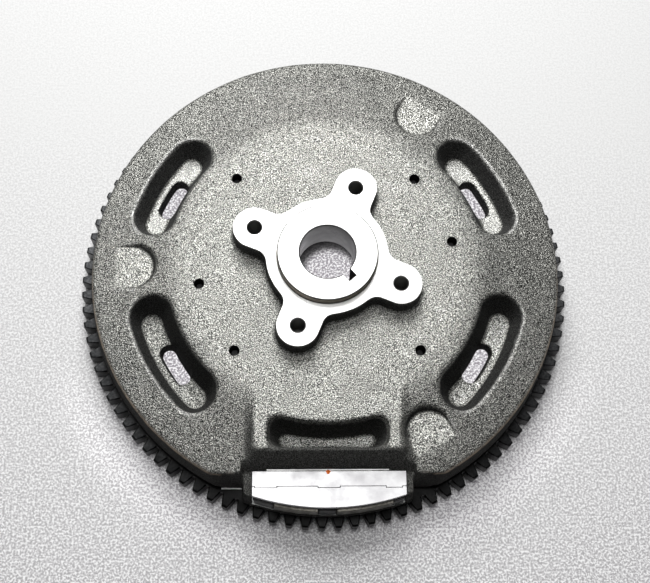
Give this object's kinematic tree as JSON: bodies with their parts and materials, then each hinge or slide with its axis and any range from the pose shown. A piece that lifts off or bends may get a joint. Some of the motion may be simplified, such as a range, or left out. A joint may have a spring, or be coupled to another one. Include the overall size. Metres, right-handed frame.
{
  "type": "engine flywheel",
  "caption": "Small-engine flywheel: cast disc with a keyed bore, armed fan mount, starter ring gear and ignition magnet block.",
  "frame": {"origin": "on the bore axis, in the plane of the machined underside of the rim", "axes": "+Z along the bore axis towards the fan side; -Y towards the ignition magnet block; +X completes a right-handed set"},
  "size_m": [0.249, 0.249, 0.0596],
  "materials": {
    "casting_iron": "sand-cast grey iron, hub faces machined bright",
    "gear_steel": "dark heat-treated steel",
    "machined_steel": "bright face-turned",
    "pole_steel": "laminated steel, ground",
    "potting": "black potting resin",
    "magnet": "ferrite, matt dark grey",
    "back_iron": "oiled steel",
    "zinc_plate": "zinc plated"
  },
  "bodies": {
    "root": {"flywheel_casting": "casting_iron", "ring_gear": "gear_steel", "ignition_inner_bar": "machined_steel", "ignition_outer_cap": "machined_steel", "ignition_bar_magnet": "magnet", "pole_shoe_left": "pole_steel", "pole_shoe_right": "pole_steel", "pole_spacer_left": "potting", "pole_spacer_centre": "potting", "pole_spacer_right": "potting", "alternator_back_iron": "back_iron", "alternator_magnet_01": "magnet", "alternator_magnet_02": "magnet", "alternator_magnet_03": "magnet", "alternator_magnet_04": "magnet", "alternator_magnet_05": "magnet", "alternator_magnet_06": "magnet", "alternator_magnet_07": "magnet", "alternator_magnet_08": "magnet", "alternator_magnet_09": "magnet", "alternator_magnet_10": "magnet", "alternator_magnet_11": "magnet", "alternator_magnet_12": "magnet", "magnet_retainer_ring": "zinc_plate", "retainer_screw_1": "zinc_plate", "retainer_screw_2": "zinc_plate", "retainer_screw_3": "zinc_plate", "retainer_screw_4": "zinc_plate", "retainer_screw_5": "zinc_plate", "retainer_screw_6": "zinc_plate"}
  },
  "joints": []
}
